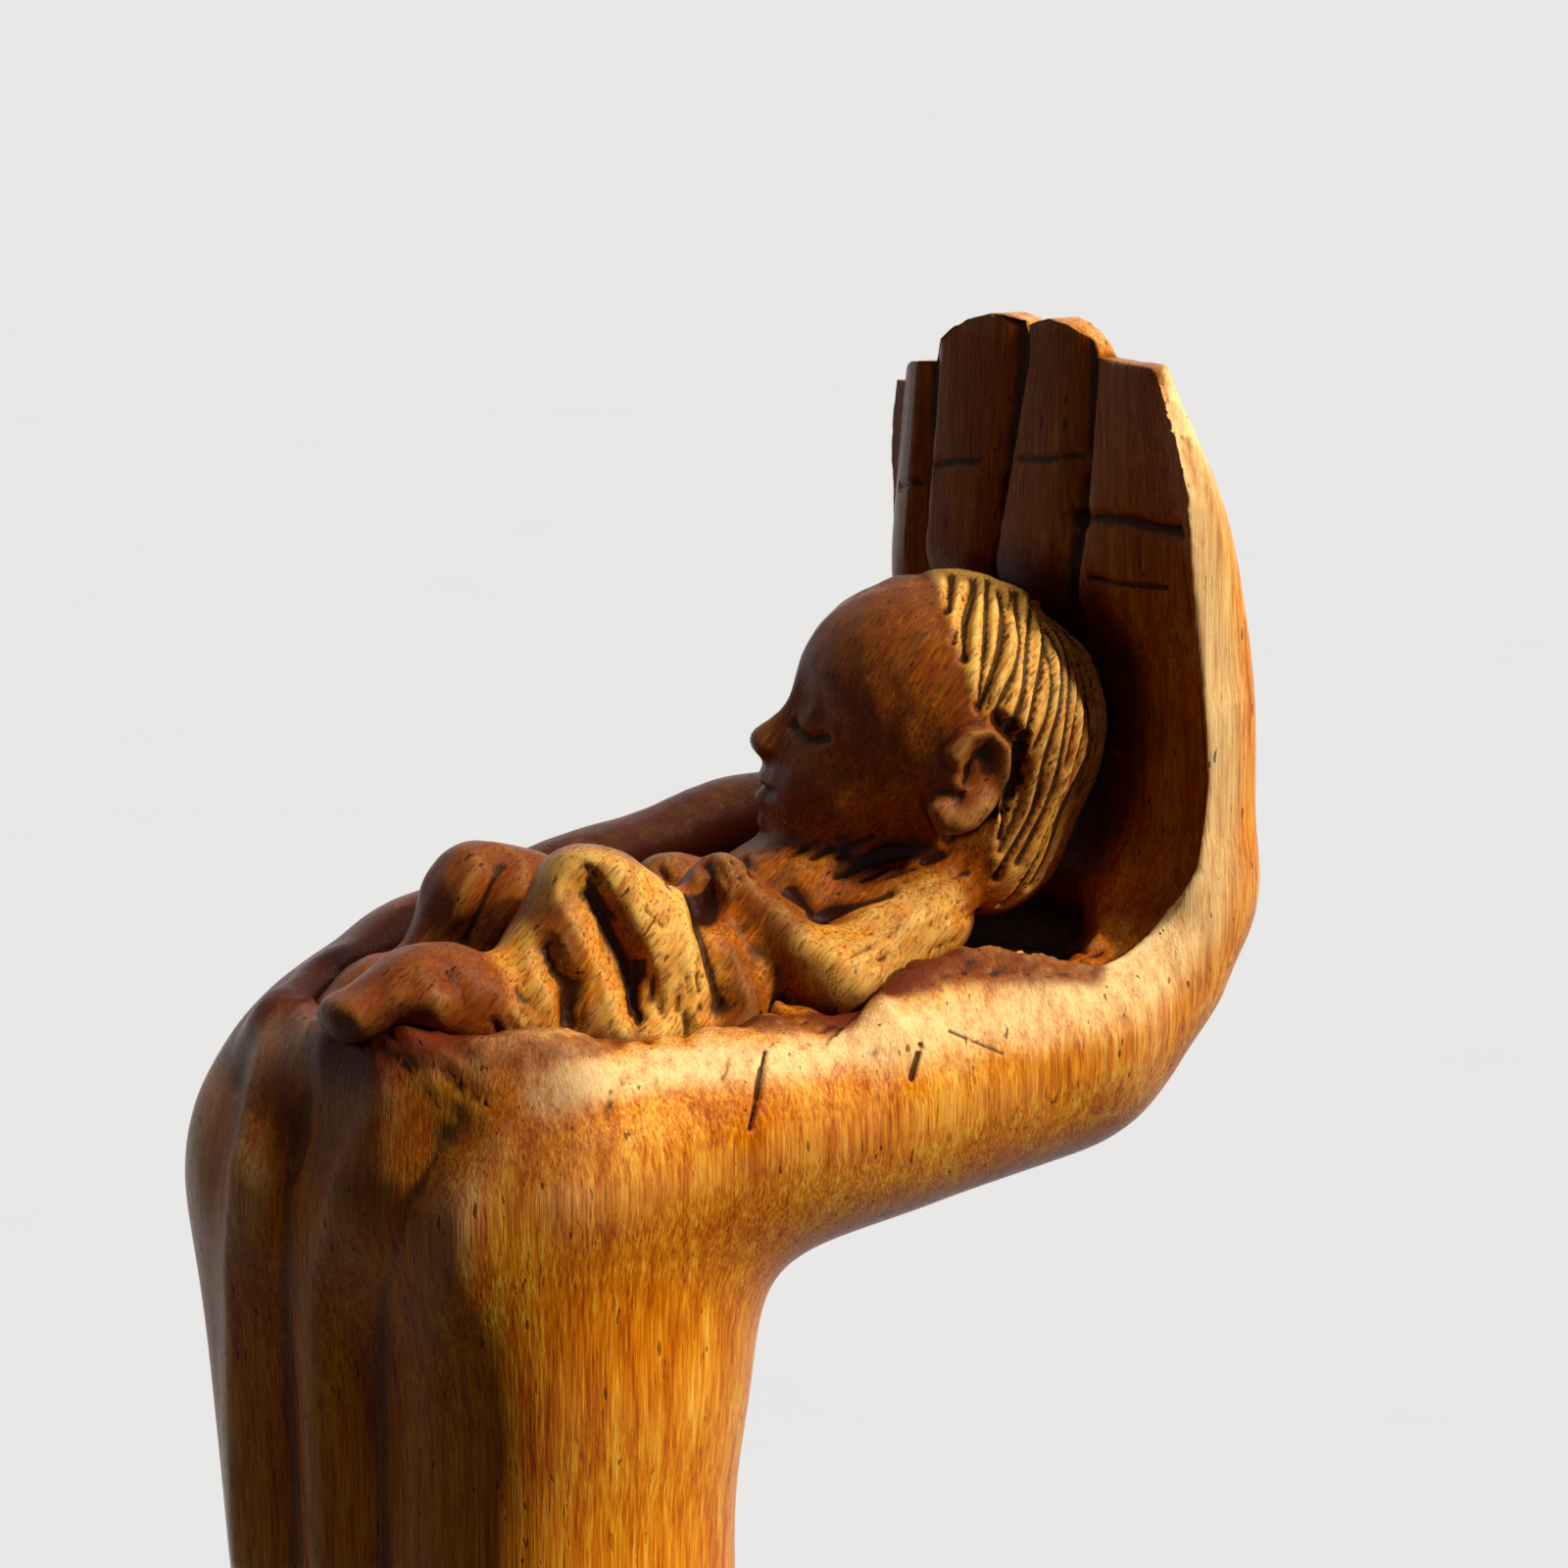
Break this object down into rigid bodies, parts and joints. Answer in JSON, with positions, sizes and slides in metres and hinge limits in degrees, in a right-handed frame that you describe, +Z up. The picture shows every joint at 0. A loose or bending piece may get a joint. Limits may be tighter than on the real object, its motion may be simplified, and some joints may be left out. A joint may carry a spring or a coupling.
{
  "type": "carved hand sculpture",
  "caption": "Hardwood table ornament: an upright forearm bends into an open, cupped hand that holds a small reclining child, standing on a felt foot.",
  "frame": {"origin": "centre of the felt foot, on the surface that the ornament stands on", "axes": "+Z up along the forearm, +X from the heel of the hand to the fingers, +Y to the thumb side"},
  "size_m": [0.0866, 0.0521, 0.1509],
  "materials": {
    "hand_wood": "oiled and waxed hardwood, satin, open pores",
    "child_wood": "oiled hardwood with tool marks, satin",
    "dowel_wood": "plain turned dowel",
    "felt": "pressed wool felt"
  },
  "bodies": {
    "root": {"hand": "hand_wood", "child": "child_wood", "hip_dowel": "dowel_wood", "shoulder_dowel": "dowel_wood", "base_felt": "felt"}
  },
  "joints": []
}
